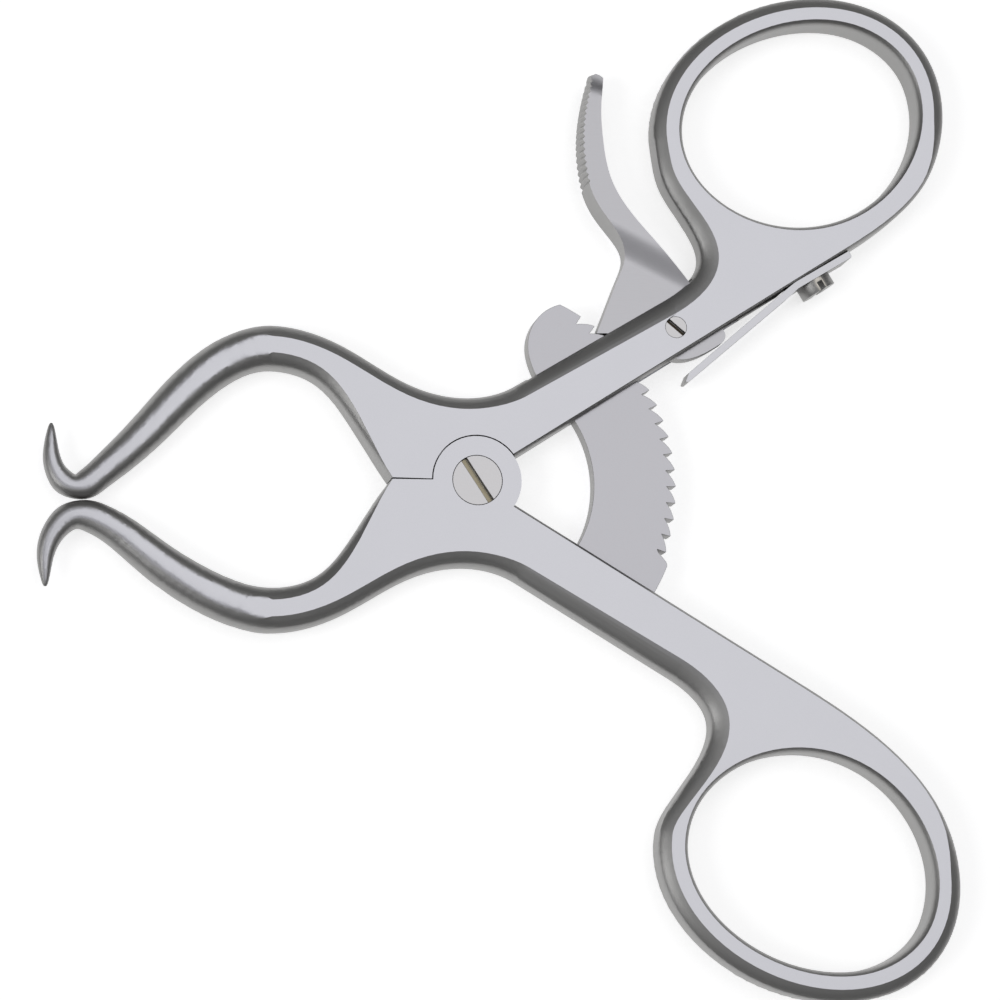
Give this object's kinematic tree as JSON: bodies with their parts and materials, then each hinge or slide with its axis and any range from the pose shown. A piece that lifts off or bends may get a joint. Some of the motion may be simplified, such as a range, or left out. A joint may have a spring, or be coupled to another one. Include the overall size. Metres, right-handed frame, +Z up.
{
  "type": "self retaining retractor",
  "caption": "Small hinged spreader with finger rings, hooked tips, a toothed sector and a sprung release lever that holds the arms apart.",
  "frame": {"origin": "on the pivot axis, in the plane of the underside", "axes": "+X from the hooked tips to the finger rings, +Y towards the arm with the release lever, +Z up out of the side that shows the pivot screw's slot"},
  "size_m": [0.1073, 0.1194, 0.0046],
  "materials": {
    "satin_steel": "satin, fine bead blasted",
    "satin_steel_machined": "satin, machined edges",
    "spring_steel": "satin, polished edges",
    "screw_steel": "turned, slightly warm"
  },
  "bodies": {
    "lower_arm": {"lower_arm": "satin_steel", "ratchet_sector": "satin_steel_machined"},
    "upper_arm": {"upper_arm": "satin_steel", "pivot_screw": "screw_steel", "lever_screw": "screw_steel", "leaf_spring": "spring_steel", "spring_screw": "screw_steel"},
    "release_lever": {"release_lever": "satin_steel_machined"}
  },
  "joints": [
    {"name": "arm_hinge", "type": "hinge", "parent": "lower_arm", "child": "upper_arm", "pos_m": [0, 0, 0], "axis": [0, 0, -1], "range_deg": [0, 57.6]},
    {"name": "lever_hinge", "type": "hinge", "parent": "upper_arm", "child": "release_lever", "pos_m": [0.02373, 0.01873, 0.0023], "axis": [0, 0, -1], "range_deg": [0, 7], "stiffness_Nm_per_rad": 0.2, "springref_deg": -2.86, "deforming": ["leaf_spring"]}
  ]
}
